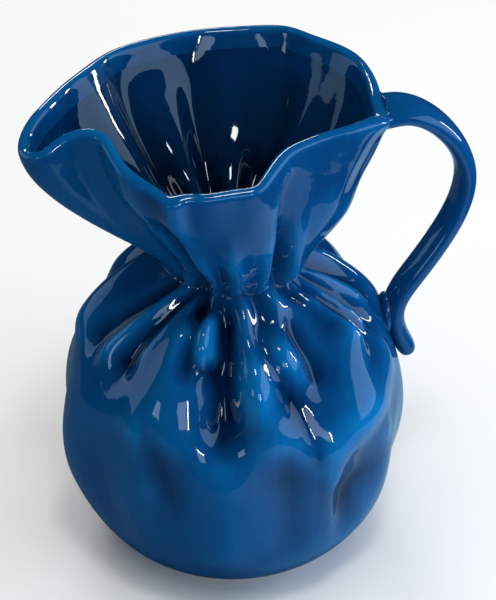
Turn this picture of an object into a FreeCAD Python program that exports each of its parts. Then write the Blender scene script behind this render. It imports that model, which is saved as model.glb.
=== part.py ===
import FreeCAD, Part
import math
import os

doc = FreeCAD.newDocument("Pitcher")

# ---------------------------------------------------------------- sizes, mm
sheet = doc.addObject("Spreadsheet::Sheet", "Sizes")
sizes = {
    "foot_radius": 41.0,
    "belly_radius": 85.0,
    "belly_height": 69.0,
    "neck_radius": 31.0,
    "neck_height": 158.0,
    "rim_height": 230.0,
    "wall_thick": 5.0,
    "floor_thick": 5.0,
    "recess_radius": 34.0,
    "recess_depth": 1.2,
    "strap_wide": 20.0,
    "strap_thick": 10.0,
    "slip_thick": 1.2,
    "glaze_thick": 0.5,
    "glaze_line": 3.0,
}
for line, (word, value) in enumerate(sizes.items(), start=1):
    sheet.set("A%d" % line, word)
    sheet.set("B%d" % line, str(value))
    sheet.setAlias("B%d" % line, word)
doc.recompute()


def size(word):
    return float(getattr(sheet, word))


# The wall is described by two numbers: a bearing in degrees around the pot
# (0 is the handle, 180 the spout, 270 the front) and a run up the wall
# (0 foot, 1 belly, 2 neck, 3 rim).

# the rim: bearing of the wall, bearing of the rim there, reach from the
# middle, rise above the rim beside the handle
rim = [
    (0, 0, 71, 0), (14, 13, 70, 2), (30, 29, 75, 3), (46, 45, 82, 3),
    (62, 62, 85, 3), (74, 73, 89, 3), (90, 88, 87, 2), (106, 104, 86, 1.5),
    (122, 120, 85, 1.5), (138, 134, 85, 1.5), (152, 148, 82, 2), (164, 160, 83, 1.5),
    (174, 172, 86, 1), (182, 180, 91, -1), (189, 187, 95, -5), (196, 195, 94.5, -6),
    (203, 200, 86, -2), (210, 199, 75, 4), (217, 203, 66, 7), (224, 208, 63, 4),
    (232, 220, 65, 0), (240, 235, 68, -4), (246, 246, 70, -6), (252, 252, 66, -4),
    (260, 260, 64, -4), (272, 272, 61, -3), (282, 283, 60, -2), (290, 292, 52, 0),
    (299, 304, 45, 2), (308, 316, 44, 3), (320, 331, 49, 4), (334, 344, 60, 4),
    (348, 354, 68, 2),
]


def fold(bearings, runs, wide, rise, soft=(0.1, 0.15), sharp=0.0, bow=0.0):
    """A ridge or a crease that climbs the wall; rise is below zero for a crease."""
    return {
        "bearings": bearings,
        "runs": runs,
        "wide": wide,
        "rise": rise,
        "soft": soft,
        "sharp": sharp,
        "bow": bow,
    }


leftFolds = [
    fold((200, 222), (1.50, 1.98), (7, 4), -6, sharp=0.4),
    fold((211, 230), (1.50, 1.98), (7, 5), 4.5),
    fold((221, 238), (1.50, 1.98), (6, 3.5), -7, sharp=0.5),
    fold((228, 242), (1.58, 1.95), (4.5, 3), 4),
]
frontFolds = [
    fold((243, 247), (1.30, 1.72), (18, 9), 6, soft=(0.14, 0.08)),
    fold((250, 251), (1.58, 1.82), (4, 3), -6, soft=(0.05, 0.08), sharp=0.4),
    fold((259, 256), (1.63, 1.77), (6, 5.5), 8, soft=(0.05, 0.06)),
    fold((262, 261), (1.53, 1.56), (7, 6), -4, soft=(0.04, 0.04)),
    fold((267, 267), (1.36, 1.80), (9, 4.5), -11, soft=(0.16, 0.1)),
    fold((285, 278), (1.28, 1.52), (15, 9), 6, soft=(0.12, 0.14)),
    fold((279, 271), (1.50, 2.50), (9, 7), 6, soft=(0.16, 0.3)),
    fold((299, 292), (1.22, 1.46), (3.5, 3.5), -4, soft=(0.06, 0.06), sharp=0.3),
    fold((295, 292), (1.54, 1.64), (10, 8), 7, soft=(0.08, 0.12)),
    fold((291, 282), (1.47, 1.72), (3, 3), -3.5, soft=(0.04, 0.1)),
    fold((306, 303), (1.50, 1.74), (5, 4), -5, soft=(0.08, 0.1)),
    fold((301, 286), (1.80, 2.50), (5, 6), 4, soft=(0.1, 0.25)),
    fold((287, 281), (1.76, 2.10), (4, 4), -2.5, soft=(0.08, 0.25)),
    fold((316, 326), (1.28, 1.56), (19, 11), 8, soft=(0.12, 0.12)),
]
rightFolds = [
    fold((331, 319), (1.58, 2.00), (4.5, 3), 5, soft=(0.06, 0.12), sharp=0.3),
    fold((336, 323), (1.58, 2.00), (4, 3), -4.5, soft=(0.08, 0.12)),
    fold((342, 327), (1.56, 2.05), (4.5, 3), 5, soft=(0.07, 0.12), sharp=0.3),
    fold((350, 332), (1.54, 2.05), (4.5, 3), -5, soft=(0.08, 0.12)),
    fold((357, 338), (1.60, 2.05), (5, 3.5), 4, soft=(0.08, 0.12), sharp=0.3),
    fold((7, 348), (1.62, 2.10), (6, 4), -5, soft=(0.1, 0.2)),
    fold((16, 6), (1.45, 2.10), (11, 5), 5, soft=(0.12, 0.2)),
]
backFolds = [
    fold((28, 24), (1.40, 2.20), (8, 4), -5, soft=(0.15, 0.2), sharp=0.4),
    fold((45, 42), (1.45, 2.10), (12, 6), 5, soft=(0.12, 0.2)),
    fold((62, 60), (1.35, 2.20), (8, 5), -6, soft=(0.12, 0.2), sharp=0.4),
    fold((80, 77), (1.50, 2.30), (9, 5), 4.5, soft=(0.15, 0.2)),
    fold((96, 94), (1.40, 2.20), (7, 4), -5, soft=(0.12, 0.2), sharp=0.4),
    fold((112, 110), (1.45, 2.25), (10, 5), 4, soft=(0.12, 0.2)),
    fold((128, 127), (1.30, 2.20), (9, 5), -6, soft=(0.14, 0.2)),
    fold((147, 144), (1.50, 2.25), (9, 5), 4.5, soft=(0.12, 0.2)),
    fold((163, 162), (1.42, 2.20), (7, 4), -5, soft=(0.12, 0.2), sharp=0.4),
    fold((183, 181), (1.45, 2.15), (12, 6), 6.5, soft=(0.12, 0.2)),
]
neckPleats = [
    fold((318, 300), (1.86, 2.45), (4.5, 6), -4, soft=(0.08, 0.2)),
    fold((322, 312), (1.96, 2.45), (4, 5), 3.5, soft=(0.08, 0.2)),
    fold((247, 244), (1.86, 2.65), (4, 6), -7, soft=(0.1, 0.2)),
    fold((255, 256), (1.98, 2.45), (5, 6), 3, soft=(0.08, 0.2)),
    fold((263, 264), (1.90, 2.35), (3.5, 4), -2.5, soft=(0.08, 0.2)),
]
mouthFlutes = [
    fold((244, 243), (2.30, 3.00), (6, 4), -4, soft=(0.15, 0.05), sharp=0.4),
    fold((250, 249), (2.40, 3.00), (6, 4), 2.5, soft=(0.15, 0.05)),
    fold((228, 232), (2.20, 2.70), (6, 6), -3, soft=(0.15, 0.15)),
    fold((292, 290), (2.25, 2.85), (4, 5), 3, soft=(0.2, 0.1), sharp=0.3),
    fold((300, 299), (2.15, 2.80), (5, 8), -3, soft=(0.15, 0.15)),
    fold((318, 325), (2.10, 2.60), (5, 14), 3, soft=(0.1, 0.2)),
    fold((344, 350), (2.06, 2.45), (12, 16), 3.5, soft=(0.1, 0.25)),
    fold((348, 350), (2.70, 2.90), (16, 18), -4, soft=(0.2, 0.08)),
    fold((52, 50), (2.15, 2.85), (5, 10), -4, soft=(0.1, 0.1)),
    fold((68, 66), (2.15, 2.75), (5, 8), 3.5, soft=(0.1, 0.1)),
    fold((90, 92), (2.15, 2.80), (5, 9), -3, soft=(0.1, 0.1)),
    fold((108, 108), (2.15, 2.85), (5, 8), 3.5, soft=(0.1, 0.1)),
    fold((124, 124), (2.15, 2.70), (5, 9), -4, soft=(0.1, 0.1)),
    fold((141, 140), (2.15, 2.85), (5, 8), 4, soft=(0.1, 0.1)),
    fold((156, 154), (2.15, 2.80), (5, 8), -4, soft=(0.1, 0.1)),
    fold((170, 168), (2.15, 2.80), (5, 7), 3, soft=(0.1, 0.1)),
]
folds = leftFolds + frontFolds + rightFolds + backFolds + neckPleats + mouthFlutes

# dents and swells pressed into the belly:
# from bearing and run, to bearing and run, half width, rise
dents = [
    (345, 1.38, 303, 1.19, 7, 4.5), (293, 1.22, 303, 1.19, 7, 2),
    (310, 0.98, 316, 1.02, 15, -8), (330, 1.14, 305, 1.08, 5, 3.5),
    (304, 1.08, 305, 0.85, 5, 2.5), (312, 0.90, 314, 0.75, 8, -4),
    (288, 1.18, 290, 0.80, 9, -3.5), (268, 1.10, 268, 0.80, 14, 2.5),
    (242, 1.28, 250, 1.05, 6, -3), (236, 1.30, 243, 1.08, 6, 1.5),
    (222, 1.00, 226, 0.75, 12, -3), (205, 1.20, 200, 0.90, 14, 2),
    (345, 0.95, 350, 0.75, 14, -4), (20, 1.00, 25, 0.80, 16, -4),
    (55, 1.10, 50, 0.80, 14, 3), (75, 1.00, 80, 0.80, 14, -4),
    (110, 1.10, 104, 0.85, 12, 3), (130, 1.05, 134, 0.75, 14, -4),
    (160, 1.10, 164, 0.80, 13, 3), (183, 1.10, 180, 0.80, 13, -3.5),
]

bearingCount = 112
runSteps = (8, 14, 12)
usualReach = 72.0  # of the rim, where a fold's width is turned into degrees
runLength = 95.0  # of one run of the belly, where a dent is measured
lidDepth = 18.0  # of the lid that closes the mouth of the full lump

# the handle's middle line, top to tail: share of the way up from the
# shoulder to the rim, or below zero of the way down to the tail's place on
# the belly, distance out from that line, and the strap's width and
# thickness as shares of its usual ones
strapBearing = 11.0
strapLine = [
    (0.968, -4.1, 1.34, 1.00), (0.978, 1.6, 1.32, 1.01), (0.984, 9.6, 1.24, 1.02),
    (0.950, 19.2, 1.16, 1.01), (0.873, 29.3, 1.08, 1.00), (0.769, 37.8, 1.00, 0.95),
    (0.654, 43.1, 0.96, 0.94), (0.528, 43.6, 0.93, 0.93), (0.391, 39.9, 0.91, 0.93),
    (0.256, 33.1, 0.90, 0.94), (0.126, 25.3, 0.88, 0.95), (0.012, 17.7, 0.87, 0.97),
    (-0.255, 9.7, 0.88, 1.00), (-0.583, 6.0, 0.86, 0.96), (-0.850, 5.5, 0.82, 0.98),
    (-0.991, 5.7, 0.78, 0.98), (-1.077, 5.8, 0.62, 0.80), (-1.117, 5.8, 0.30, 0.40),
]
strapSides = 16


# ---------------------------------------------------------------- small maths
def plus(a, b, share=1.0):
    return (a[0] + b[0] * share, a[1] + b[1] * share, a[2] + b[2] * share)


def between(a, b):
    return (b[0] - a[0], b[1] - a[1], b[2] - a[2])


def unit(a):
    long = math.sqrt(a[0] ** 2 + a[1] ** 2 + a[2] ** 2)
    return (a[0] / long, a[1] / long, a[2] / long)


def cross(a, b):
    return (
        a[1] * b[2] - a[2] * b[1],
        a[2] * b[0] - a[0] * b[2],
        a[0] * b[1] - a[1] * b[0],
    )


def turn(angle):
    """The same angle between -180 and 180."""
    return (angle + 180.0) % 360.0 - 180.0


def ramp(x, low, high):
    share = min(1.0, max(0.0, (x - low) / (high - low)))
    return share * share * (3.0 - 2.0 * share)


def rimValue(bearing, column):
    """A smooth curve through the rim's stations, closed round the pot."""
    count = len(rim)
    lap = 360.0 if column == 1 else 0.0

    def station(index):
        laps, place = divmod(index, count)
        return rim[place][0] + laps * 360.0, rim[place][column] + laps * lap

    here = 0
    while here < count - 1 and rim[here + 1][0] <= bearing:
        here += 1
    x0, y0 = station(here - 1)
    x1, y1 = station(here)
    x2, y2 = station(here + 1)
    x3, y3 = station(here + 2)
    step = x2 - x1
    share = (bearing - x1) / step
    slope1 = (y2 - y0) / (x2 - x0) * step
    slope2 = (y3 - y1) / (x3 - x1) * step
    first = (2 * share ** 3 - 3 * share ** 2 + 1) * y1
    second = (share ** 3 - 2 * share ** 2 + share) * slope1
    third = (3 * share ** 2 - 2 * share ** 3) * y2
    fourth = (share ** 3 - share ** 2) * slope2
    return first + second + third + fourth


# ---------------------------------------------------------------- the wall
def plainRadius(run):
    """The usual radius at a run, which turns a fold's width into degrees."""
    foot = size("foot_radius")
    belly = size("belly_radius")
    neck = size("neck_radius")
    if run <= 1:
        return foot + (belly - foot) * math.sin(run * math.pi / 2)
    if run <= 2:
        return neck + (belly - neck) * math.cos((run - 1) * math.pi / 2)
    rise = (run - 2) ** 1.25
    return neck + (usualReach - neck) * (1 - (1 - rise) ** 1.9)


def plainPoint(bearing, run):
    """A point of the wall before it is folded."""
    foot = size("foot_radius")
    belly = size("belly_radius")
    neck = size("neck_radius")
    bellyHeight = size("belly_height")
    neckHeight = size("neck_height")
    angle = math.radians(bearing)
    if run <= 1:
        quarter = run * math.pi / 2
        radius = foot + (belly - foot) * math.sin(quarter) ** 1.08
        height = bellyHeight * (1 - math.cos(quarter))
        return (radius * math.cos(angle), radius * math.sin(angle), height)
    if run <= 2:
        quarter = (run - 1) * math.pi / 2
        radius = neck + (belly - neck) * math.cos(quarter) ** 1.25
        climb = 0.8 * math.sin(quarter) + 0.2 * (run - 1)
        height = bellyHeight + (neckHeight - bellyHeight) * climb
        return (radius * math.cos(angle), radius * math.sin(angle), height)
    rimAngle = math.radians(rimValue(bearing, 1))
    reach = rimValue(bearing, 2)
    top = size("rim_height") + rimValue(bearing, 3)
    rise = (run - 2) ** 1.2
    flare = 1.13 * rise * rise / (rise + 0.13)
    full = 1.62 - 0.04 * math.exp(-(turn(bearing - 195) / 38.0) ** 2)
    out = 1 - max(0.0, 1 - flare) ** full
    start = (neck * math.cos(angle), neck * math.sin(angle))
    end = (reach * math.cos(rimAngle), reach * math.sin(rimAngle))
    x = start[0] + (end[0] - start[0]) * out
    y = start[1] + (end[1] - start[1]) * out
    return (x, y, neckHeight + (top - neckHeight) * rise)


def foldRise(bearing, run):
    """How far the folds and dents lift the wall off its plain shape."""
    total = 0.0
    degree = math.radians(1) * plainRadius(run)
    for item in folds:
        low, high = item["runs"]
        if run < low - item["soft"][0] or run > high + item["soft"][1]:
            continue
        share = min(1.0, max(0.0, (run - low) / (high - low)))
        first, last = item["bearings"]
        swing = turn(last - first)
        middle = first + swing * share + item["bow"] * 4 * share * (1 - share)
        wide = item["wide"][0] + (item["wide"][1] - item["wide"][0]) * share
        across = turn(bearing - middle) * degree / wide
        if abs(across) > 3.5:
            continue
        round_ = math.exp(-across * across)
        keen = math.exp(-1.3 * abs(across) ** 1.2)
        shape = round_ * (1 - item["sharp"]) + keen * item["sharp"]
        ends = ramp(run, low - item["soft"][0], low)
        ends *= 1 - ramp(run, high, high + item["soft"][1])
        total += item["rise"] * shape * ends
    for bearing1, run1, bearing2, run2, wide, rise in dents:
        if abs(run - run1) > 0.8 and abs(run - run2) > 0.8:
            continue
        lineX = turn(bearing2 - bearing1) * degree
        lineY = (run2 - run1) * runLength
        pointX = turn(bearing - bearing1) * degree
        pointY = (run - run1) * runLength
        share = (pointX * lineX + pointY * lineY) / (lineX ** 2 + lineY ** 2)
        share = min(1.0, max(0.0, share))
        away = (pointX - lineX * share) ** 2 + (pointY - lineY * share) ** 2
        if away < 9 * wide * wide:
            total += rise * math.exp(-away / wide ** 2)
    return total


def netNormals(net):
    """Outward directions at every point of a net of rows and bearings."""
    rows = len(net)
    count = len(net[0])
    normals = []
    for i in range(rows):
        below = net[max(0, i - 1)]
        above = net[min(rows - 1, i + 1)]
        line = []
        for j in range(count):
            around = between(net[i][j - 1], net[i][(j + 1) % count])
            along = between(below[j], above[j])
            line.append(unit(cross(around, along)))
        normals.append(line)
    return normals


def lifted(net, normals, rises):
    return [
        [plus(net[i][j], normals[i][j], rises[i][j]) for j in range(len(net[0]))]
        for i in range(len(net))
    ]


def softened(values, laps):
    """Each value blended with its neighbours, so that it changes gently."""
    rows = len(values)
    count = len(values[0])
    for lap in range(laps):
        fresh = []
        for i in range(rows):
            below = values[max(0, i - 1)]
            above = values[min(rows - 1, i + 1)]
            line = []
            for j in range(count):
                sides = values[i][j - 1] + values[i][(j + 1) % count]
                line.append((2 * values[i][j] + sides + below[j] + above[j]) / 6.0)
            fresh.append(line)
        values = fresh
    return values


def lowest(values, reach):
    """Each value replaced with the lowest one near it."""
    rows = len(values)
    count = len(values[0])
    result = []
    for i in range(rows):
        nearRows = values[max(0, i - 1):min(rows, i + 2)]
        line = []
        for j in range(count):
            near = range(j - reach, j + reach + 1)
            line.append(min(row[k % count] for row in nearRows for k in near))
        result.append(line)
    return result


def wallNets():
    """The outside of the wall, and the inside of it, both from foot to rim."""
    lower = [i / runSteps[0] for i in range(runSteps[0])]
    middle = [1 + i / runSteps[1] for i in range(runSteps[1])]
    upper = [2 + i / runSteps[2] for i in range(runSteps[2] + 1)]
    runs = lower + middle + upper
    bearings = [360.0 * j / bearingCount for j in range(bearingCount)]
    plain = [[plainPoint(bearing, run) for bearing in bearings] for run in runs]
    normals = netNormals(plain)
    rises = [[foldRise(bearing, run) for bearing in bearings] for run in runs]
    rises[0] = [0.0] * bearingCount
    outside = lifted(plain, normals, rises)
    # the inside stays a wall's thickness behind the deepest crease nearby
    floorRises = softened(lowest(rises, 2), 3)
    flareRises = softened(lowest(rises, 1), 1)
    backRises = []
    for i, run in enumerate(runs):
        share = ramp(run, 2.1, 2.4)
        line = []
        for j in range(bearingCount):
            depth = floorRises[i][j] * (1 - share) + flareRises[i][j] * share
            line.append(depth - size("wall_thick"))
        backRises.append(line)
    inside = lifted(plain, normals, backRises)
    foot = size("foot_radius")
    inside[0] = []
    for bearing in bearings:
        angle = math.radians(bearing)
        inside[0].append((foot * math.cos(angle), foot * math.sin(angle), size("floor_thick")))
    return outside, inside


def lipRows(outer, inner, lean):
    """Three rows that carry the wall over its rounded rim."""
    thick = size("wall_thick")
    first = []
    second = []
    third = []
    for a, b, below in zip(outer, inner, lean):
        rise = unit(between(below, a))
        middle = plus(a, between(a, b), 0.5)
        first.append(plus(plus(a, between(a, b), 0.08), rise, 0.38 * thick))
        second.append(plus(middle, rise, 0.60 * thick))
        third.append(plus(plus(b, between(b, a), 0.08), rise, 0.38 * thick))
    return [first, second, third]


def wholeNet():
    outside, inside = wallNets()
    lip = lipRows(outside[-1], inside[-1], outside[-2])
    return outside + lip + inside[::-1]


def filledNet(net):
    """The same wall with its mouth closed by a lid, so that it is one full lump."""
    rows = sum(runSteps) + 1 + 3 + 3
    last = net[rows - 1]
    middle = (0.0, 0.0, size("rim_height") - lidDepth)
    lid = []
    for share in (0.35, 0.65, 0.92):
        lid.append([plus(point, between(point, middle), share) for point in last])
    level = middle[2]
    lid[-1] = [(x, y, level) for x, y, z in lid[-1]]
    return net[:rows] + lid


def netSurface(net):
    """A smooth surface that follows a net, closed round and open at its ends."""
    rows = len(net)
    count = len(net[0])
    poles = [[FreeCAD.Vector(*net[i][j]) for i in range(rows)] for j in range(count)]
    around = list(range(count + 1))
    along = list(range(rows - 2))
    alongTimes = [4] + [1] * (rows - 4) + [4]
    surface = Part.BSplineSurface()
    surface.buildFromPolesMultsKnots(
        poles, [1] * (count + 1), alongTimes, around, along, True, False, 3, 3
    )
    return surface


def ringEdge(surface, place):
    return surface.vIso(place).toShape()


def disc(edge):
    return Part.Face(Part.Wire([edge]))


def closedSolid(faces):
    shell = Part.Shell(faces)
    shell.sewShape()
    solid = Part.Solid(Part.Shell(shell.Faces))
    if solid.Volume < 0:
        solid.reverse()
    return solid


def capped(surface):
    first, last = surface.bounds()[2:4]
    faces = [
        surface.toShape(),
        disc(ringEdge(surface, first)),
        disc(ringEdge(surface, last)),
    ]
    return closedSolid(faces)


def grownNet(net, amount):
    normals = netNormals(net)
    rises = [[amount] * len(net[0]) for row in net]
    return lifted(net, normals, rises)


# ---------------------------------------------------------------- the handle
def strapNet():
    """Rings of the strap from inside the rim down to the tail's tip."""
    high = plainPoint(strapBearing, 3.0)
    low = plainPoint(strapBearing, 1.5)
    tail = plainPoint(strapBearing, 1.2)
    angle = math.radians(strapBearing)
    out = (math.cos(angle), math.sin(angle), 0.0)
    side = (-math.sin(angle), math.cos(angle), 0.0)
    line = []
    for share, reach, wide, thick in strapLine:
        point = plus(low, between(low, high if share > 0 else tail), abs(share))
        line.append(plus(point, out, reach))
    net = []
    for i, (share, reach, wide, thick) in enumerate(strapLine):
        ahead = between(line[max(0, i - 1)], line[min(len(line) - 1, i + 1)])
        away = unit(cross(side, ahead))
        ring = []
        for j in range(strapSides):
            angle = 2 * math.pi * j / strapSides
            flat = abs(math.cos(angle)) ** 0.85 * math.copysign(1, math.cos(angle))
            edge = abs(math.sin(angle)) ** 0.85 * math.copysign(1, math.sin(angle))
            point = plus(line[i], away, flat * thick * size("strap_thick") * 0.51)
            ring.append(plus(point, side, edge * wide * size("strap_wide") * 0.51))
        net.append(ring)
    return net


# ---------------------------------------------------------------- objects
def shapeObject(name, shape):
    item = doc.addObject("Part::Feature", name)
    item.Shape = shape
    item.Placement = FreeCAD.Placement()
    return item


def boolean(kind, name, base, tool):
    item = doc.addObject(kind, name)
    item.Base = base
    item.Tool = tool
    return item


def label(item, word):
    item.Label = word
    return item


def makeCasting(surface):
    blank = shapeObject("CastingBlank", capped(surface))
    recess = doc.addObject("Part::Cylinder", "FootRecess")
    recess.setExpression("Radius", "Sizes.recess_radius")
    recess.setExpression("Height", "Sizes.recess_depth * 2")
    recess.setExpression("Placement.Base.z", "-Sizes.recess_depth")
    casting = boolean("Part::Cut", "Casting", blank, recess)
    return label(casting, "body_casting")


def makeCoat(surface, coatSurface, start, end, name):
    """A glaze coat between the wall and a surface lifted off it."""
    last = surface.bounds()[3]
    around = surface.bounds()[0:2]
    faces = [
        surface.toShape(around[0], around[1], start, end),
        coatSurface.toShape(around[0], around[1], start, end),
    ]
    for place in (start, end):
        wallEdge = ringEdge(surface, place)
        coatEdge = ringEdge(coatSurface, place)
        if place == last:
            faces += [disc(wallEdge), disc(coatEdge)]
        else:
            faces.append(Part.makeRuledSurface(wallEdge, coatEdge))
    return shapeObject(name, closedSolid(faces))


def glazeStart(surface):
    """The place along the wall where it reaches the glaze line."""
    low, high = 0.0, 6.0
    for step in range(30):
        middle = (low + high) / 2
        if surface.value(0.0, middle).z < size("glaze_line"):
            low = middle
        else:
            high = middle
    return low


net = wholeNet()
wall = netSurface(net)
coatNet = grownNet(net, size("glaze_thick"))
coatNet[-1] = [(x, y, size("floor_thick") + size("glaze_thick")) for x, y, z in net[-1]]
coat = netSurface(coatNet)
slipNet = grownNet(net, size("slip_thick"))
slipNet[0] = [(x, y, 0.0) for x, y, z in net[0]]
lipPlace = float(sum(runSteps) + 1)

casting = makeCasting(wall)
strap = shapeObject("StrapBlank", capped(netSurface(strapNet())))
slipForm = shapeObject("SlipForm", capped(netSurface(filledNet(slipNet))))
wallForm = shapeObject("WallForm", capped(netSurface(filledNet(net))))
handle = label(boolean("Part::Cut", "Handle", strap, slipForm), "handle")
strapInSlip = boolean("Part::Common", "StrapInSlip", strap, slipForm)
slip = boolean("Part::Cut", "Slip", strapInSlip, wallForm)
outerCoat = makeCoat(wall, coat, glazeStart(wall), lipPlace, "OuterCoat")
outerGlaze = boolean("Part::Cut", "OuterGlaze", outerCoat, strap)
label(outerGlaze, "outside_glaze")
innerCoat = makeCoat(wall, coat, lipPlace, wall.bounds()[3], "InnerCoat")
label(innerCoat, "inside_glaze")
doc.recompute()


def slipPad(name, word, pads):
    """The pad of slip that fills one end's joint."""
    pad = shapeObject(name, max(pads, key=lambda each: each.Volume))
    return label(pad, word)


middle = size("neck_height")
upperPads = [pad for pad in slip.Shape.Solids if pad.CenterOfMass.z > middle]
lowerPads = [pad for pad in slip.Shape.Solids if pad.CenterOfMass.z < middle]
upper = slipPad("UpperSlip", "upper_slip_joint", upperPads)
lower = slipPad("LowerSlip", "lower_slip_joint", lowerPads)
doc.recompute()

parts = [casting, outerGlaze, innerCoat, handle, upper, lower]
for item in doc.Objects:
    if "Invalid" in item.State or "Error" in item.State:
        raise RuntimeError("%s did not compute" % item.Name)
for item in parts:
    if item.Shape.isNull() or not item.Shape.isValid():
        raise RuntimeError("%s is not a sound shape" % item.Label)
    print(item.Label, round(item.Shape.Volume, 1), len(item.Shape.Solids), len(item.Shape.Faces))

os.makedirs("parts", exist_ok=True)
for item in parts:
    item.Shape.exportStep("parts/%s.step" % item.Label)
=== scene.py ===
import bpy
import bmesh
import math
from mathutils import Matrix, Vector
from mathutils.bvhtree import BVHTree


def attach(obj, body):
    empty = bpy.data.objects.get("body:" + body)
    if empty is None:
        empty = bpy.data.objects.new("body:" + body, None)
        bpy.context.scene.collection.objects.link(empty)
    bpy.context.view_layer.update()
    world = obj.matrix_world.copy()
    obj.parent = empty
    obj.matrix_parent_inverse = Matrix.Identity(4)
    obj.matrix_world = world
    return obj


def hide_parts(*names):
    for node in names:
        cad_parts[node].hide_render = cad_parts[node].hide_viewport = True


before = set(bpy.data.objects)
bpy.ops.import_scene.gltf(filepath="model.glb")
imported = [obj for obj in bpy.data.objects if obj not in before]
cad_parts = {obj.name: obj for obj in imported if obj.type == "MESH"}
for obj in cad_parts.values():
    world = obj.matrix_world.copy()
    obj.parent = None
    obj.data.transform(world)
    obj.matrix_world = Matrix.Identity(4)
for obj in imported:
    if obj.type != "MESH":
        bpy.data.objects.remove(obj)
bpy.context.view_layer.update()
mm = 0.001


def paint(hexColour):
    # an sRGB hex colour as the linear colour the shader wants
    parts = [int(hexColour[i:i + 2], 16) / 255 for i in (1, 3, 5)]
    linear = [c / 12.92 if c <= 0.04045 else ((c + 0.055) / 1.055) ** 2.4 for c in parts]
    return (linear[0], linear[1], linear[2], 1.0)


def ramp(x, low, high):
    # a soft step from 0 to 1
    share = min(1.0, max(0.0, (x - low) / (high - low)))
    return share * share * (3 - 2 * share)


def turn(angle):
    # the same angle between -180 and 180
    return (angle + 180) % 360 - 180


# the camera: a short telephoto a little under a metre away, 35 degrees up
cameraData = bpy.data.cameras.new("camera")
cameraData.sensor_width = 36
cameraData.lens = 108
cameraData.clip_start = 0.01
camera = bpy.data.objects.new("camera", cameraData)
camera.location = (0.0075, -0.7063, 0.6275)
camera.rotation_euler = (math.radians(55), 0, 0)
bpy.context.scene.collection.objects.link(camera)
bpy.context.scene.camera = camera
print("camera placed")

# the pot's form, in mm. Bearings are in degrees around the pot: 0 is the
# handle, 180 the spout, 270 the front. Runs climb the wall: 0 foot, 1 belly,
# 2 neck, 3 rim.
pot = {
    "footRadius": 41.0,
    "bellyRadius": 85.0,
    "bellyHeight": 69.0,
    "neckRadius": 31.0,
    "neckHeight": 158.0,
    "rimHeight": 230.0,
    "wall": 5.0,
    "floor": 5.0,
    "recessRadius": 34.0,
    "recessDepth": 1.2,
    "glaze": 0.5,
    "usualReach": 72.0,  # the mouth's reach, where only a rough radius is needed
    "runLength": 95.0,  # about how far one run goes along the wall
    "beadRuns": (0.185, 0.195, 0.215),  # where the outside glaze starts
    "beadLifts": (0.05, 0.42, 0.55),
    "bearings": 112,
    "steps": (8, 14, 12),
}

# the rim: bearing of the wall, bearing of the rim there, reach from the
# middle, rise above the rim beside the handle
rim = [
    (0, 0, 71, 0), (14, 13, 70, 2), (30, 29, 75, 3), (46, 45, 82, 3),
    (62, 62, 85, 3), (74, 73, 89, 3), (90, 88, 87, 2), (106, 104, 86, 1.5),
    (122, 120, 85, 1.5), (138, 134, 85, 1.5), (152, 148, 82, 2), (164, 160, 83, 1.5),
    (174, 172, 86, 1), (182, 180, 91, -1), (189, 187, 95, -5), (196, 195, 94.5, -6),
    (203, 200, 86, -2), (210, 199, 75, 4), (217, 203, 66, 7), (224, 208, 63, 4),
    (232, 220, 65, 0), (240, 235, 68, -4), (246, 246, 70, -6), (252, 252, 66, -4),
    (260, 260, 64, -4), (272, 272, 61, -3), (282, 283, 60, -2), (290, 292, 52, 0),
    (299, 304, 45, 2), (308, 316, 44, 3), (320, 331, 49, 4), (334, 344, 60, 4),
    (348, 354, 68, 2),
]


def fold(bearings, runs, wide, rise, soft=(0.1, 0.15), sharp=0.0):
    # a ridge or a crease that climbs the wall; rise is below zero for a crease
    return {
        "bearings": bearings,
        "runs": runs,
        "wide": wide,
        "rise": rise,
        "soft": soft,
        "sharp": sharp,
    }


leftFolds = [
    fold((200, 222), (1.50, 1.98), (7, 4), -6, sharp=0.4),
    fold((211, 230), (1.50, 1.98), (7, 5), 4.5),
    fold((221, 238), (1.50, 1.98), (6, 3.5), -7, sharp=0.5),
    fold((228, 242), (1.58, 1.95), (4.5, 3), 4),
]
frontFolds = [
    fold((243, 247), (1.30, 1.72), (18, 9), 6, soft=(0.14, 0.08)),
    fold((250, 251), (1.58, 1.82), (4, 3), -6, soft=(0.05, 0.08), sharp=0.4),
    fold((259, 256), (1.63, 1.77), (6, 5.5), 8, soft=(0.05, 0.06)),
    fold((262, 261), (1.53, 1.56), (7, 6), -4, soft=(0.04, 0.04)),
    fold((267, 267), (1.36, 1.80), (9, 4.5), -11, soft=(0.16, 0.1)),
    fold((285, 278), (1.28, 1.52), (15, 9), 6, soft=(0.12, 0.14)),
    fold((279, 271), (1.50, 2.50), (9, 7), 6, soft=(0.16, 0.3)),
    fold((299, 292), (1.22, 1.46), (3.5, 3.5), -4, soft=(0.06, 0.06), sharp=0.3),
    fold((295, 292), (1.54, 1.64), (10, 8), 7, soft=(0.08, 0.12)),
    fold((291, 282), (1.47, 1.72), (3, 3), -3.5, soft=(0.04, 0.1)),
    fold((306, 303), (1.50, 1.74), (5, 4), -5, soft=(0.08, 0.1)),
    fold((301, 286), (1.80, 2.50), (5, 6), 4, soft=(0.1, 0.25)),
    fold((287, 281), (1.76, 2.10), (4, 4), -2.5, soft=(0.08, 0.25)),
    fold((316, 326), (1.28, 1.56), (19, 11), 8, soft=(0.12, 0.12)),
]
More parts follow.
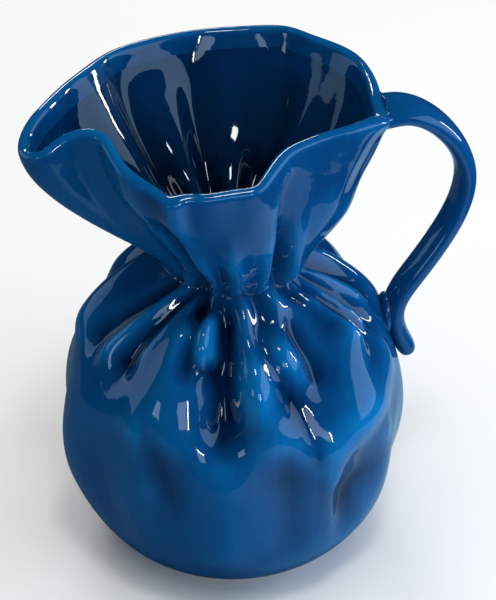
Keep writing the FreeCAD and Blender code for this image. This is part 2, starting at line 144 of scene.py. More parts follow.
rightFolds = [
    fold((331, 319), (1.58, 2.00), (4.5, 3), 5, soft=(0.06, 0.12), sharp=0.3),
    fold((336, 323), (1.58, 2.00), (4, 3), -4.5, soft=(0.08, 0.12)),
    fold((342, 327), (1.56, 2.05), (4.5, 3), 5, soft=(0.07, 0.12), sharp=0.3),
    fold((350, 332), (1.54, 2.05), (4.5, 3), -5, soft=(0.08, 0.12)),
    fold((357, 338), (1.60, 2.05), (5, 3.5), 4, soft=(0.08, 0.12), sharp=0.3),
    fold((7, 348), (1.62, 2.10), (6, 4), -5, soft=(0.1, 0.2)),
    fold((16, 6), (1.45, 2.10), (11, 5), 5, soft=(0.12, 0.2)),
]
backFolds = [
    fold((28, 24), (1.40, 2.20), (8, 4), -5, soft=(0.15, 0.2), sharp=0.4),
    fold((45, 42), (1.45, 2.10), (12, 6), 5, soft=(0.12, 0.2)),
    fold((62, 60), (1.35, 2.20), (8, 5), -6, soft=(0.12, 0.2), sharp=0.4),
    fold((80, 77), (1.50, 2.30), (9, 5), 4.5, soft=(0.15, 0.2)),
    fold((96, 94), (1.40, 2.20), (7, 4), -5, soft=(0.12, 0.2), sharp=0.4),
    fold((112, 110), (1.45, 2.25), (10, 5), 4, soft=(0.12, 0.2)),
    fold((128, 127), (1.30, 2.20), (9, 5), -6, soft=(0.14, 0.2)),
    fold((147, 144), (1.50, 2.25), (9, 5), 4.5, soft=(0.12, 0.2)),
    fold((163, 162), (1.42, 2.20), (7, 4), -5, soft=(0.12, 0.2), sharp=0.4),
    fold((183, 181), (1.45, 2.15), (12, 6), 6.5, soft=(0.12, 0.2)),
]
neckPleats = [
    fold((318, 300), (1.86, 2.45), (4.5, 6), -4, soft=(0.08, 0.2)),
    fold((322, 312), (1.96, 2.45), (4, 5), 3.5, soft=(0.08, 0.2)),
    fold((247, 244), (1.86, 2.65), (4, 6), -7, soft=(0.1, 0.2)),
    fold((255, 256), (1.98, 2.45), (5, 6), 3, soft=(0.08, 0.2)),
    fold((263, 264), (1.90, 2.35), (3.5, 4), -2.5, soft=(0.08, 0.2)),
]
mouthFlutes = [
    fold((244, 243), (2.30, 3.00), (6, 4), -4, soft=(0.15, 0.05), sharp=0.4),
    fold((250, 249), (2.40, 3.00), (6, 4), 2.5, soft=(0.15, 0.05)),
    fold((228, 232), (2.20, 2.70), (6, 6), -3, soft=(0.15, 0.15)),
    fold((292, 290), (2.25, 2.85), (4, 5), 3, soft=(0.2, 0.1), sharp=0.3),
    fold((300, 299), (2.15, 2.80), (5, 8), -3, soft=(0.15, 0.15)),
    fold((318, 325), (2.10, 2.60), (5, 14), 3, soft=(0.1, 0.2)),
    fold((344, 350), (2.06, 2.45), (12, 16), 3.5, soft=(0.1, 0.25)),
    fold((348, 350), (2.70, 2.90), (16, 18), -4, soft=(0.2, 0.08)),
    fold((52, 50), (2.15, 2.85), (5, 10), -4, soft=(0.1, 0.1)),
    fold((68, 66), (2.15, 2.75), (5, 8), 3.5, soft=(0.1, 0.1)),
    fold((90, 92), (2.15, 2.80), (5, 9), -3, soft=(0.1, 0.1)),
    fold((108, 108), (2.15, 2.85), (5, 8), 3.5, soft=(0.1, 0.1)),
    fold((124, 124), (2.15, 2.70), (5, 9), -4, soft=(0.1, 0.1)),
    fold((141, 140), (2.15, 2.85), (5, 8), 4, soft=(0.1, 0.1)),
    fold((156, 154), (2.15, 2.80), (5, 8), -4, soft=(0.1, 0.1)),
    fold((170, 168), (2.15, 2.80), (5, 7), 3, soft=(0.1, 0.1)),
]
folds = leftFolds + frontFolds + rightFolds + backFolds + neckPleats + mouthFlutes

# dents and swells pressed into the belly:
# from bearing and run, to bearing and run, half width, rise
dents = [
    (345, 1.38, 303, 1.19, 7, 4.5), (293, 1.22, 303, 1.19, 7, 2),
    (310, 0.98, 316, 1.02, 15, -8), (330, 1.14, 305, 1.08, 5, 3.5),
    (304, 1.08, 305, 0.85, 5, 2.5), (312, 0.90, 314, 0.75, 8, -4),
    (288, 1.18, 290, 0.80, 9, -3.5), (268, 1.10, 268, 0.80, 14, 2.5),
    (242, 1.28, 250, 1.05, 6, -3), (236, 1.30, 243, 1.08, 6, 1.5),
    (222, 1.00, 226, 0.75, 12, -3), (205, 1.20, 200, 0.90, 14, 2),
    (345, 0.95, 350, 0.75, 14, -4), (20, 1.00, 25, 0.80, 16, -4),
    (55, 1.10, 50, 0.80, 14, 3), (75, 1.00, 80, 0.80, 14, -4),
    (110, 1.10, 104, 0.85, 12, 3), (130, 1.05, 134, 0.75, 14, -4),
    (160, 1.10, 164, 0.80, 13, 3), (183, 1.10, 180, 0.80, 13, -3.5),
]

# the handle's middle line, top to tail: share of the way up from the
# shoulder to the rim, or below zero of the way down to the tail's place on
# the belly, distance out from that line, and the strap's width and
# thickness as shares of its usual ones
strapBearing = 11.0
strapLine = [
    (0.968, -4.1, 1.34, 1.00), (0.978, 1.6, 1.32, 1.01), (0.984, 9.6, 1.24, 1.02),
    (0.950, 19.2, 1.16, 1.01), (0.873, 29.3, 1.08, 1.00), (0.769, 37.8, 1.00, 0.95),
    (0.654, 43.1, 0.96, 0.94), (0.528, 43.6, 0.93, 0.93), (0.391, 39.9, 0.91, 0.93),
    (0.256, 33.1, 0.90, 0.94), (0.126, 25.3, 0.88, 0.95), (0.012, 17.7, 0.87, 0.97),
    (-0.255, 9.7, 0.88, 1.00), (-0.583, 6.0, 0.86, 0.96), (-0.850, 5.5, 0.82, 0.98),
    (-0.991, 5.7, 0.78, 0.98), (-1.077, 5.8, 0.62, 0.80), (-1.117, 5.8, 0.30, 0.40),
]


def rimValue(bearing, column):
    # a smooth closed curve through the rim's stations
    count = len(rim)
    lap = 360 if column == 1 else 0

    def station(index):
        laps, place = divmod(index, count)
        return rim[place][0] + laps * 360, rim[place][column] + laps * lap

    here = 0
    while here < count - 1 and rim[here + 1][0] <= bearing:
        here += 1
    x0, y0 = station(here - 1)
    x1, y1 = station(here)
    x2, y2 = station(here + 1)
    x3, y3 = station(here + 2)
    step = x2 - x1
    share = (bearing - x1) / step
    slope1 = (y2 - y0) / (x2 - x0) * step
    slope2 = (y3 - y1) / (x3 - x1) * step
    first = (2 * share ** 3 - 3 * share ** 2 + 1) * y1
    second = (share ** 3 - 2 * share ** 2 + share) * slope1
    third = (3 * share ** 2 - 2 * share ** 3) * y2
    fourth = (share ** 3 - share ** 2) * slope2
    return first + second + third + fourth


def plainRadius(run):
    # the pot's rough radius, to turn degrees into mm
    foot, belly, neck = pot["footRadius"], pot["bellyRadius"], pot["neckRadius"]
    if run <= 1:
        return foot + (belly - foot) * math.sin(run * math.pi / 2)
    if run <= 2:
        return neck + (belly - neck) * math.cos((run - 1) * math.pi / 2)
    rise = (run - 2) ** 1.25
    return neck + (pot["usualReach"] - neck) * (1 - (1 - rise) ** 1.9)


def plainPoint(bearing, run):
    # the wall before it is folded
    foot, belly, neck = pot["footRadius"], pot["bellyRadius"], pot["neckRadius"]
    bellyHeight, neckHeight = pot["bellyHeight"], pot["neckHeight"]
    angle = math.radians(bearing)
    if run <= 1:
        quarter = run * math.pi / 2
        radius = foot + (belly - foot) * math.sin(quarter) ** 1.08
        height = bellyHeight * (1 - math.cos(quarter))
        return Vector((radius * math.cos(angle), radius * math.sin(angle), height))
    if run <= 2:
        quarter = (run - 1) * math.pi / 2
        radius = neck + (belly - neck) * math.cos(quarter) ** 1.25
        climb = 0.8 * math.sin(quarter) + 0.2 * (run - 1)
        height = bellyHeight + (neckHeight - bellyHeight) * climb
        return Vector((radius * math.cos(angle), radius * math.sin(angle), height))
    rimAngle = math.radians(rimValue(bearing, 1))
    reach = rimValue(bearing, 2)
    top = pot["rimHeight"] + rimValue(bearing, 3)
    rise = (run - 2) ** 1.2
    flare = 1.13 * rise * rise / (rise + 0.13)
    full = 1.62 - 0.04 * math.exp(-(turn(bearing - 195) / 38) ** 2)
    out = 1 - max(0, 1 - flare) ** full
    start = Vector((neck * math.cos(angle), neck * math.sin(angle), neckHeight))
    end = Vector((reach * math.cos(rimAngle), reach * math.sin(rimAngle), top))
    point = start.lerp(end, out)
    point.z = neckHeight + (top - neckHeight) * rise
    return point


def foldRise(bearing, run):
    # how far the folds and dents lift the wall off its plain shape
    total = 0.0
    degree = math.radians(1) * plainRadius(run)
    for item in folds:
        low, high = item["runs"]
        if run < low - item["soft"][0] or run > high + item["soft"][1]:
            continue
        share = min(1, max(0, (run - low) / (high - low)))
        first, last = item["bearings"]
        middle = first + turn(last - first) * share
        wide = item["wide"][0] + (item["wide"][1] - item["wide"][0]) * share
        across = turn(bearing - middle) * degree / wide
        if abs(across) > 3.5:
            continue
        rounded = math.exp(-across * across)
        keen = math.exp(-1.3 * abs(across) ** 1.2)
        shape = rounded * (1 - item["sharp"]) + keen * item["sharp"]
        ends = ramp(run, low - item["soft"][0], low)
        ends *= 1 - ramp(run, high, high + item["soft"][1])
        total += item["rise"] * shape * ends
    for bearing1, run1, bearing2, run2, wide, rise in dents:
        if abs(run - run1) > 0.8 and abs(run - run2) > 0.8:
            continue
        long = pot["runLength"]
        line = Vector((turn(bearing2 - bearing1) * degree, (run2 - run1) * long))
        point = Vector((turn(bearing - bearing1) * degree, (run - run1) * long))
        share = min(1, max(0, point.dot(line) / line.dot(line)))
        away = (point - line * share).length_squared
        if away < 9 * wide * wide:
            total += rise * math.exp(-away / wide ** 2)
    return total


def netNormals(net):
    # which way is outwards at each point of the net
    count = len(net[0])
    normals = []
    for i, row in enumerate(net):
        below = net[max(0, i - 1)]
        above = net[min(len(net) - 1, i + 1)]
        line = []
        for j in range(count):
            around = row[(j + 1) % count] - row[j - 1]
            line.append(around.cross(above[j] - below[j]).normalized())
        normals.append(line)
    return normals


def lifted(net, normals, rises):
    # the net moved along its normals
    return [
        [p + n * r for p, n, r in zip(*rows)] for rows in zip(net, normals, rises)
    ]


def softened(values, laps):
    # each value shared out with its four neighbours
    for lap in range(laps):
        fresh = []
        for i, row in enumerate(values):
            below = values[max(0, i - 1)]
            above = values[min(len(values) - 1, i + 1)]
            line = []
            for j in range(len(row)):
                sides = row[j - 1] + row[(j + 1) % len(row)]
                line.append((2 * row[j] + sides + below[j] + above[j]) / 6)
            fresh.append(line)
        values = fresh
    return values


def lowest(values, reach):
    # the lowest value nearby, so the wall keeps its thickness at a crease
    result = []
    for i, row in enumerate(values):
        nearRows = values[max(0, i - 1):i + 2]
        count = len(row)
        line = []
        for j in range(count):
            near = range(j - reach, j + reach + 1)
            line.append(min(each[k % count] for each in nearRows for k in near))
        result.append(line)
    return result


lower = [i / pot["steps"][0] for i in range(pot["steps"][0])]
middle = [1 + i / pot["steps"][1] for i in range(pot["steps"][1])]
upper = [2 + i / pot["steps"][2] for i in range(pot["steps"][2] + 1)]
runs = lower + middle + upper
bearings = [360 * j / pot["bearings"] for j in range(pot["bearings"])]

plain = [[plainPoint(bearing, run) for bearing in bearings] for run in runs]
plainNormals = netNormals(plain)
rises = [[foldRise(bearing, run) for bearing in bearings] for run in runs]
rises[0] = [0.0] * len(bearings)
outside = lifted(plain, plainNormals, rises)

# the inside stays a wall's thickness behind the deepest crease nearby
deepRises = softened(lowest(rises, 2), 3)
flareRises = softened(lowest(rises, 1), 1)
backRises = []
for i, run in enumerate(runs):
    share = ramp(run, 2.1, 2.4)
    pairs = zip(deepRises[i], flareRises[i])
    backRises.append([deep * (1 - share) + flare * share - pot["wall"] for deep, flare in pairs])
inside = lifted(plain, plainNormals, backRises)
inside[0] = [Vector((p.x, p.y, pot["floor"])) for p in outside[0]]

# three rows carry the wall over its rounded lip
lip = [[], [], []]
for a, b, below in zip(outside[-1], inside[-1], outside[-2]):
    rise = (a - below).normalized()
    lip[0].append(a.lerp(b, 0.08) + rise * 0.38 * pot["wall"])
    lip[1].append(a.lerp(b, 0.5) + rise * 0.6 * pot["wall"])
    lip[2].append(b.lerp(a, 0.08) + rise * 0.38 * pot["wall"])
wallNet = outside + lip + inside[::-1]

# where glaze pools or thins: below zero in a crease, above it on a ridge
rowCount = len(runs)
pooling = [[a - b for a, b in zip(*rows)] for rows in zip(rises, softened(rises, 6))]
lipPool = [[1.6] * len(bearings)] * 3
# painted shade: on the inside the values also drop the deeper the wall lies below the rim, so
# the inside glaze turns darker down towards the neck
insidePoolingAndShade = []
for run, row in zip(runs, pooling):
    depth = 4.2 * ramp(run, 2.95, 2.05)
    insidePoolingAndShade.append([-0.5 * value - depth for value in row])
wallPoolingAndShade = pooling + lipPool + insidePoolingAndShade[::-1]
print("form worked out")


def spunCage(name, net, pool):
    # a straight line of points spun once around becomes the grid, and each
    # point then goes to its place in the net
    bm = bmesh.new()
    points = [bm.verts.new((1, 0, i)) for i in range(len(net))]
    edges = [bm.edges.new(pair) for pair in zip(points, points[1:])]
    bmesh.ops.spin(
        bm, geom=points + edges, cent=(0, 0, 0), axis=(0, 0, 1), dvec=(0, 0, 0),
        angle=math.tau, steps=len(net[0]), use_merge=True, use_duplicate=False,
    )
    bmesh.ops.remove_doubles(bm, verts=bm.verts, dist=0.001)
    poolLayer = bm.verts.layers.float.new("pooling")
    rowLayer = bm.verts.layers.float.new("row")
    for vert in bm.verts:
        row = round(vert.co.z)
        place = round(math.atan2(vert.co.y, vert.co.x) / math.tau * len(net[0])) % len(net[0])
        vert[poolLayer] = pool[row][place]
        vert[rowLayer] = row
        vert.co = net[row][place] * mm
    bmesh.ops.recalc_face_normals(bm, faces=bm.faces)
    return bm


def finished(name, bm, material, levels):
    # turns a bmesh into a piece at the origin
    mesh = bpy.data.meshes.new(name)
    bm.to_mesh(mesh)
    bm.free()
    mesh.shade_smooth()
    piece = bpy.data.objects.new(name, mesh)
    bpy.context.scene.collection.objects.link(piece)
    mesh.materials.append(material)
    if levels:
        smooth = piece.modifiers.new("smooth", "SUBSURF")
        smooth.levels = levels
        smooth.render_levels = levels
    return piece


def keepRows(piece, first, last):
    # shows the rows of the grid from first to last only, cut cleanly on a row
    group = piece.vertex_groups.new(name="shown")
    row = piece.data.attributes["row"].data
    shown = [v.index for v in piece.data.vertices if first <= round(row[v.index].value) <= last]
    group.add(shown, 1.0, "REPLACE")
    mask = piece.modifiers.new("shown rows", "MASK")
    mask.vertex_group = "shown"
    mask.threshold = 0.999


def addNode(material, kind, order=(), stops=(), **settings):
    # adds a shader node. A setting names one of the node's own values or one
    # of its inputs, order fills inputs by place, stops fill a colour ramp, and
    # a node given as a value links its first output
    node = material.node_tree.nodes.new(kind)
    given = list(enumerate(order))
    for key, value in settings.items():
        if hasattr(node, key):
            setattr(node, key, value)
        else:
            given.append((key.replace("_", " "), value))
    for key, value in given:
        if isinstance(value, bpy.types.Node):
            value = value.outputs[0]
        if isinstance(value, bpy.types.NodeSocket):
            material.node_tree.links.new(value, node.inputs[key])
        else:
            node.inputs[key].default_value = value
    if stops:
        elements = node.color_ramp.elements
        while len(elements) < len(stops):
            elements.new(0.5)
        for element, (place, colour) in zip(elements, stops):
            element.position = place
            element.color = paint(colour)
    return node


def newMaterial(name):
    # an empty material, and where a point is on its piece in metres
    material = bpy.data.materials.new(name)
    material.use_nodes = True
    material.node_tree.nodes.clear()
    return material, addNode(material, "ShaderNodeTexCoord").outputs["Object"]


def blueGlaze(name, deep, body, thin, poolShare):
    # Cobalt glaze on stoneware, poured and dipped, then fired glassy. To the
    # eye: a wet, almost mirror-like surface, ink blue where the glaze pools in
    # creases, azure where it thins over ridges, with faint runs down the wall
    # and a slow ripple that bends reflections.
    material, where = newMaterial(name)
    pool = addNode(material, "ShaderNodeAttribute", attribute_name="pooling")
    span = addNode(
        material, "ShaderNodeMapRange", Value=pool.outputs["Fac"], From_Min=-3.7, From_Max=3.6,
    )
    depth = addNode(
        material, "ShaderNodeMath", operation="MULTIPLY_ADD",
        order=(span, poolShare, 0.5 - 0.5 * poolShare),
    )
    # runs about 5 mm wide and long down the wall, and clouds about 35 mm across
    tall = addNode(material, "ShaderNodeMapping", Vector=where, Scale=(1, 1, 0.09))
    runsDown = addNode(
        material, "ShaderNodeTexNoise", Vector=tall, Scale=190, Detail=3, Roughness=0.6,
    )
    streak = addNode(
        material, "ShaderNodeMath", operation="MULTIPLY_ADD", order=(runsDown, 0.20, -0.10),
    )
    squat = addNode(material, "ShaderNodeMapping", Vector=where, Scale=(1, 1, 0.6))
    clouds = addNode(
        material, "ShaderNodeTexNoise", Vector=squat, Scale=28, Detail=3, Roughness=0.5,
    )
    cloud = addNode(
        material, "ShaderNodeMath", operation="MULTIPLY_ADD", order=(clouds, 0.34, -0.17),
    )
    streaked = addNode(material, "ShaderNodeMath", operation="ADD", order=(depth, streak))
    clouded = addNode(material, "ShaderNodeMath", operation="ADD", order=(streaked, cloud))
    colour = addNode(
        material, "ShaderNodeValToRGB", Fac=clouded,
        stops=((0.0, deep), (0.5, body), (1.0, thin)),
    )
    # a firing ripple about 9 mm across and a fine orange peel about 1.5 mm
    ripple = addNode(
        material, "ShaderNodeTexNoise", Vector=where, Scale=110, Detail=1.5, Roughness=0.5,
    )
    peel = addNode(
        material, "ShaderNodeTexNoise", Vector=where, Scale=650, Detail=1.0, Roughness=0.5,
    )
    rippleBump = addNode(
        material, "ShaderNodeBump", Height=ripple, Strength=0.35, Distance=0.0004,
    )
    peelBump = addNode(
        material, "ShaderNodeBump", Height=peel, Strength=0.05, Distance=0.0002,
        Normal=rippleBump,
    )
    shader = addNode(
        material, "ShaderNodeBsdfPrincipled", Base_Color=colour, Roughness=0.045,
        IOR=1.52, Normal=peelBump,
    )
    addNode(material, "ShaderNodeOutputMaterial", Surface=shader)
    return material


def bareStoneware():
    # Unglazed stoneware fired to a buff colour. To the eye: dry and matt, with
    # fine specks of iron about 1 mm across and a slightly gritty surface.
    material, where = newMaterial("bare stoneware")
    tone = addNode(
        material, "ShaderNodeTexNoise", Vector=where, Scale=60, Detail=4, Roughness=0.5,
    )
    buff = addNode(
        material, "ShaderNodeValToRGB", Fac=tone, stops=((0.3, "#B9A98E"), (0.7, "#D2C5AC")),
    )
    specks = addNode(
        material, "ShaderNodeTexNoise", Vector=where, Scale=900, Detail=2, Roughness=0.5,
    )
    iron = addNode(
        material, "ShaderNodeValToRGB", Fac=specks,
        stops=((0.30, "#5E4632"), (0.36, "#FFFFFF")),
    )
    speckled = addNode(
        material, "ShaderNodeMix", data_type="RGBA", blend_type="MULTIPLY", Factor=0.6,
    )
    material.node_tree.links.new(buff.outputs["Color"], speckled.inputs[6])
    material.node_tree.links.new(iron.outputs["Color"], speckled.inputs[7])
    grit = addNode(
        material, "ShaderNodeTexNoise", Vector=where, Scale=1400, Detail=3, Roughness=0.5,
    )
    gritBump = addNode(material, "ShaderNodeBump", Height=grit, Strength=0.4, Distance=0.0002)
    shader = addNode(
        material, "ShaderNodeBsdfPrincipled", Base_Color=speckled.outputs[2], Roughness=0.85,
        Normal=gritBump,
    )
    addNode(material, "ShaderNodeOutputMaterial", Surface=shader)
    return material


outsideBlue = blueGlaze("outside glaze", "#011433", "#033C6E", "#07639E", 0.9)
# painted shade: the inside glaze is the same glaze as the outside in darker colours, for the
# shade inside the mouth
insideShadedBlue = blueGlaze("inside glaze with painted shade", "#000716", "#012A53", "#04498A", 0.9)
strapBlue = blueGlaze("handle glaze", "#011B3E", "#033E72", "#065C98", 0.7)
clay = bareStoneware()

# the casting: the whole wall in clay, with a recess inside its foot ring
bm = spunCage("casting", wallNet, wallPoolingAndShade)
rowLayer = bm.verts.layers.float["row"]
edge = [e for e in bm.edges if all(round(v[rowLayer]) == 0 for v in e.verts)]
recess = pot["recessRadius"]
ceiling = pot["recessDepth"]
underside = (
    (recess + 0.4, 0), (recess, 0.4), (recess, ceiling), (recess - 3, ceiling), (2, ceiling),
)
for radius, height in underside:
    grown = bmesh.ops.extrude_edge_only(bm, edges=edge)["geom"]
    edge = [g for g in grown if isinstance(g, bmesh.types.BMEdge)]
    for vert in [g for g in grown if isinstance(g, bmesh.types.BMVert)]:
        flat = Vector((vert.co.x, vert.co.y, 0)).normalized() * radius * mm
        vert.co = Vector((flat.x, flat.y, height * mm))
bmesh.ops.edgeloop_fill(bm, edges=edge)
lastRow = len(wallNet) - 1
top = [e for e in bm.edges if all(round(v[rowLayer]) == lastRow for v in e.verts)]
top = [e for e in top if e.is_boundary]
bmesh.ops.edgeloop_fill(bm, edges=top)
bmesh.ops.recalc_face_normals(bm, faces=bm.faces)
casting = finished("stonewareCasting", bm, clay, 1)
print("casting made")

# the glaze: one smooth film split on a row just inside the lip
wallNormals = netNormals(wallNet)
coatRises = [[pot["glaze"]] * len(bearings) for row in wallNet]
coatNet = lifted(wallNet, wallNormals, coatRises)
coatNet[-1] = [Vector((p.x, p.y, pot["floor"] + pot["glaze"])) for p in wallNet[-1]]
seam = rowCount + len(lip) + 1

# it starts as a rounded bead a few millimetres above the foot
bead = []
for run, lift in zip(pot["beadRuns"], pot["beadLifts"]):
    ring = []
    for bearing in bearings:
        point = plainPoint(bearing, run)
        ahead = plainPoint(bearing, run + 0.02) - point
        side = Vector((-math.sin(math.radians(bearing)), math.cos(math.radians(bearing)), 0))
        ring.append(point + side.cross(ahead).normalized() * lift)
    bead.append(ring)
beadPool = [[-1.5] * len(bearings) for ring in bead]

outsideNet = bead + coatNet[2:seam + 3]
outsidePool = beadPool + wallPoolingAndShade[2:seam + 3]
bm = spunCage("outsideGlaze", outsideNet, outsidePool)
outsideGlaze = finished("outsideGlaze", bm, outsideBlue, 2)
keepRows(outsideGlaze, 0, seam + 1)

insideNet = coatNet[seam - 2:]
insidePoolAndShade = wallPoolingAndShade[seam - 2:]
bm = spunCage("insideGlaze", insideNet, insidePoolAndShade)
rowLayer = bm.verts.layers.float["row"]
last = len(insideNet) - 1
bottom = [e for e in bm.edges if all(round(v[rowLayer]) == last for v in e.verts)]
for radius in (30, 12, 2):
    grown = bmesh.ops.extrude_edge_only(bm, edges=bottom)["geom"]
    bottom = [g for g in grown if isinstance(g, bmesh.types.BMEdge)]
    for vert in [g for g in grown if isinstance(g, bmesh.types.BMVert)]:
        flat = Vector((vert.co.x, vert.co.y, 0)).normalized() * radius * mm
        vert.co = Vector((flat.x, flat.y, vert.co.z))
        vert[rowLayer] = last
bmesh.ops.edgeloop_fill(bm, edges=bottom)
bmesh.ops.recalc_face_normals(bm, faces=bm.faces)
insideGlaze = finished("insideGlaze", bm, insideShadedBlue, 2)
keepRows(insideGlaze, 2, last)
print("glaze laid over the casting")

# the handle: a flattened strap, ring by ring down its middle line
strap = {
    "wide": 20.0,
    "thick": 10.0,
    "sides": 16,
    "fullness": 0.51,  # half, and a hair more, as the smoothing shrinks the ring
    "squareness": 0.85,  # 1 is an ellipse, less is squarer
}
high = plainPoint(strapBearing, 3)
low = plainPoint(strapBearing, 1.5)
tailFoot = plainPoint(strapBearing, 1.2)
strapAngle = math.radians(strapBearing)
strapOut = Vector((math.cos(strapAngle), math.sin(strapAngle), 0))
strapSide = Vector((-math.sin(strapAngle), math.cos(strapAngle), 0))
middleLine = []
for share, reach, wide, thick in strapLine:
    aim = high if share > 0 else tailFoot
    middleLine.append(low.lerp(aim, abs(share)) + strapOut * reach)


def strapSection(station, sides, share):
    # points round one station, as steps away from the middle line
    reach, wide, thick = strapLine[station][1:]
    ahead = middleLine[min(len(middleLine) - 1, station + 1)] - middleLine[max(0, station - 1)]
    away = strapSide.cross(ahead).normalized()
    ring = []
    for j in range(sides):
        angle = math.tau * j / sides
        flat = math.copysign(abs(math.cos(angle)) ** strap["squareness"], math.cos(angle))
        edge = math.copysign(abs(math.sin(angle)) ** strap["squareness"], math.sin(angle))
        step = away * flat * thick * strap["thick"] * share
        ring.append(step + strapSide * edge * wide * strap["wide"] * share)
    return ring


def strapRing(i):
    around = strapSection(i, strap["sides"], strap["fullness"])
    return [middleLine[i] + step for step in around]


bm = bmesh.new()
poolLayer = bm.verts.layers.float.new("pooling")
made = bmesh.ops.create_circle(bm, segments=strap["sides"], radius=1)
ringVerts = sorted(made["verts"], key=lambda v: math.atan2(v.co.y, v.co.x) % math.tau)
for vert, place in zip(ringVerts, strapRing(0)):
    vert.co = place * mm
rootEnd = list(bm.edges)
edge = rootEnd
for i in range(1, len(strapLine)):
    before = strapRing(i - 1)
    ring = strapRing(i)
    grown = bmesh.ops.extrude_edge_only(bm, edges=edge)["geom"]
    edge = [g for g in grown if isinstance(g, bmesh.types.BMEdge)]
    for vert in [g for g in grown if isinstance(g, bmesh.types.BMVert)]:
        place = min(range(strap["sides"]), key=lambda k: (before[k] * mm - vert.co).length)
        vert.co = ring[place] * mm
        vert[poolLayer] = 1.2 * abs(math.cos(math.tau * place / strap["sides"])) - 0.2
bmesh.ops.edgeloop_fill(bm, edges=edge)
bmesh.ops.edgeloop_fill(bm, edges=rootEnd)
bmesh.ops.recalc_face_normals(bm, faces=bm.faces)
handle = finished("strapHandle", bm, strapBlue, 3)
print("handle pulled")


slipPooling = -0.8

# the upper joint: a cove of slip around the strap where it meets the wall
cove = {
    "station": 1,
    "sides": 48,
    "fullness": 0.485,
    "spread": 2.2,
    "climb": 2.2,
}


def coveRings():
    # for each point round the strap, the wall is found along the strap's own
    # direction, and six rings follow it from the wall to the strap and inside
    depsgraph = bpy.context.evaluated_depsgraph_get()
    wallTree = BVHTree.FromObject(outsideGlaze, depsgraph)
    station = cove["station"]
    climb = cove["climb"]
    start = middleLine[station] * mm
    direction = (middleLine[station + 1] - middleLine[station]).normalized()
    rings = [[], [], [], [], [], []]
    for away in strapSection(station, cove["sides"], cove["fullness"]):
        clear = away.normalized()
        hits = []
        for reach in (0.0, cove["spread"]):
            outer = start + (away + clear * reach) * mm + direction * 0.03
            hit = wallTree.ray_cast(outer, -direction, 0.06)
            hits.append(hit[0] if hit[0] is not None else outer - direction * 0.03)
        near, far = hits
        rings[0].append(far - direction * 0.0006)
        rings[1].append(far.lerp(near, 0.30) + direction * 0.0002)
        rings[2].append(far.lerp(near, 0.72) + direction * climb * 0.22 * mm)
        rings[3].append(near + clear * 0.0001 + direction * climb * 0.6 * mm)
        rings[4].append(near - clear * 0.0005 + direction * climb * 1.1 * mm)
        rings[5].append(near - clear * 0.0012 - direction * 0.0008)
    return rings


rings = coveRings()
bm = bmesh.new()
order = bm.verts.layers.int.new("order")
pool = bm.verts.layers.float.new("pooling")
made = bmesh.ops.create_circle(bm, segments=cove["sides"], radius=1)
ringVerts = sorted(made["verts"], key=lambda v: math.atan2(v.co.y, v.co.x) % math.tau)
for place, vert in enumerate(ringVerts):
    vert[order] = place
    vert[pool] = slipPooling
    vert.co = rings[0][place]
firstLoop = list(bm.edges)
edge = firstLoop
for ring in rings[1:]:
    grown = bmesh.ops.extrude_edge_only(bm, edges=edge)["geom"]
    edge = [g for g in grown if isinstance(g, bmesh.types.BMEdge)]
    for vert in [g for g in grown if isinstance(g, bmesh.types.BMVert)]:
        vert.co = ring[vert[order]]
bmesh.ops.bridge_loops(bm, edges=firstLoop + edge)
bmesh.ops.recalc_face_normals(bm, faces=bm.faces)
upperSlip = finished("upperSlipJoint", bm, strapBlue, 2)

# the lower joint: a soft pad of slip squeezed between the tail and the belly
pad = {
    "stations": (12, 13),
    "inset": 4.6,
    "halfDeep": 4.0,
    "halfWide": 8.4,
    "halfTall": 13.0,
}
bm = bmesh.new()
pool = bm.verts.layers.float.new("pooling")
bmesh.ops.create_uvsphere(bm, u_segments=32, v_segments=20, radius=1)
contact = sum((middleLine[i] for i in pad["stations"]), Vector()) / 2
for vert in bm.verts:
    vert[pool] = slipPooling
    p = vert.co.copy()
    outwards = strapOut * (p.x * pad["halfDeep"] - pad["inset"])
    sideways = strapSide * p.y * pad["halfWide"]
    upwards = Vector((0, 0, p.z * pad["halfTall"]))
    vert.co = (outwards + sideways + upwards + contact) * mm
bmesh.ops.recalc_face_normals(bm, faces=bm.faces)
lowerSlip = finished("lowerSlipJoint", bm, strapBlue, 1)
print("slip joints filled")

# what each piece stands for, and its finish's slot
stands = (
    (casting, "body_casting", "stoneware"),
    (outsideGlaze, "outside_glaze", "blue_glaze"),
    (insideGlaze, "inside_glaze", "blue_glaze_inside"),
    (handle, "handle", "handle_glaze"),
    (upperSlip, "upper_slip_joint", "slip"),
    (lowerSlip, "lower_slip_joint", "slip"),
)
for piece, node, slot in stands:
    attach(piece, "root")
    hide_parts(node)

# a plain pale floor
bm = bmesh.new()
bmesh.ops.create_grid(bm, x_segments=1, y_segments=1, size=3.0)
paper, where = newMaterial("pale paper floor")
shade = addNode(
    paper, "ShaderNodeTexNoise", Vector=where, Scale=4, Detail=2, Roughness=0.5,
)
paperColour = addNode(
    paper, "ShaderNodeValToRGB", Fac=shade, stops=((0.3, "#F4F3F1"), (0.7, "#F7F6F4")),
)
paperShader = addNode(
    paper, "ShaderNodeBsdfPrincipled", Base_Color=paperColour, Roughness=0.9,
)
addNode(paper, "ShaderNodeOutputMaterial", Surface=paperShader)
floor = finished("floor", bm, paper, 0)
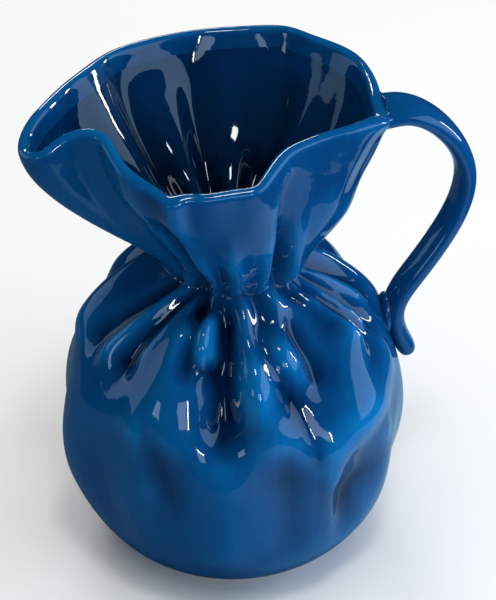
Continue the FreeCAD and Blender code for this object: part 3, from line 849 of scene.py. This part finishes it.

# what the glaze mirrors is a small table top with painted light and shade: dim on the left for a
# painted shadow and pale on the right for painted light. Its far edge draws the line between its
# lower and upper reflections
bm = bmesh.new()
bmesh.ops.create_grid(bm, x_segments=1, y_segments=1, size=0.5)
bmesh.ops.scale(bm, vec=(0.90, 0.82, 1.0), verts=bm.verts)
bmesh.ops.translate(bm, vec=(-0.17, 0.03, 0.0), verts=bm.verts)
paintedLightTable, where = newMaterial("table with painted light and shade")
axes = addNode(paintedLightTable, "ShaderNodeSeparateXYZ", Vector=where)
toRight = addNode(
    paintedLightTable, "ShaderNodeMapRange", Value=axes.outputs["X"], From_Min=-0.12, From_Max=0.10,
)
# painted light and shade: the table's colour runs from dim on the left to pale on the right
paintedLightAndShade = addNode(
    paintedLightTable, "ShaderNodeValToRGB", Fac=toRight,
    stops=((0.0, "#50697A"), (0.5, "#455C6C"), (0.8, "#84ABC6"), (1.0, "#A9D3F2")),
)
paintedLightShader = addNode(paintedLightTable, "ShaderNodeBsdfPrincipled", Base_Color=paintedLightAndShade, Roughness=0.9)
addNode(paintedLightTable, "ShaderNodeOutputMaterial", Surface=paintedLightShader)
table = finished("table", bm, paintedLightTable, 0)
table.location.z = -0.001
floor.visible_glossy = False
floor.visible_shadow = False
table.visible_camera = False
table.visible_diffuse = False
table.visible_shadow = False


def softLight(name, place, aim, width, height, power, colour, shiny):
    # a soft box: place and aim in metres, power in watts
    data = bpy.data.lights.new(name, "AREA")
    data.shape = "RECTANGLE"
    data.size = width
    data.size_y = height
    data.energy = power
    data.color = paint(colour)[:3]
    lamp = bpy.data.objects.new(name, data)
    lamp.location = place
    away = Vector(place) - Vector(aim)
    lamp.rotation_euler = away.to_track_quat("Z", "Y").to_euler()
    lamp.visible_glossy = shiny
    bpy.context.scene.collection.objects.link(lamp)
    return lamp


heart = (0, 0, 0.12)
softLight("overhead fill", (0, 0.1, 2.6), (0, 0.1, 0), 3.4, 3.4, 62, "#FFFBF4", False)
softLight("low fill", (1.35, -0.75, 0.20), heart, 0.9, 0.5, 11, "#E6F0FC", False)
softLight("front window", (0.30, -2.0, 0.62), heart, 0.60, 0.5, 3.4, "#C4DDF6", True)
softLight("front strip", (0.72, -1.9, 0.60), heart, 0.10, 0.5, 5, "#FFFFFF", True)
softLight("left window", (-1.55, -1.4, 0.45), heart, 0.5, 0.5, 3, "#C4DDF6", True)
softLight("left scrim", (-1.70, 0.55, 0.55), heart, 1.3, 0.8, 3.6, "#B4D6F4", True)
softLight("right scrim", (1.55, -0.30, 0.72), heart, 1.8, 1.2, 15, "#B4D6F6", True)
softLight("right strip", (1.80, 0.78, 0.50), heart, 0.14, 0.7, 8, "#FFFFFF", True)
softLight("top box", (0.15, -0.55, 1.9), heart, 0.3, 0.3, 6, "#FFFFFF", True)
softLight("back strip", (-0.35, 1.5, 1.1), heart, 0.6, 0.2, 6, "#FFFFFF", True)

world = bpy.data.worlds.new("studio")
world.use_nodes = True
world.node_tree.nodes["Background"].inputs["Color"].default_value = paint("#1C232C")
world.node_tree.nodes["Background"].inputs["Strength"].default_value = 0.8
bpy.context.scene.world = world
bpy.context.scene.view_settings.view_transform = "Standard"
print("lights set")
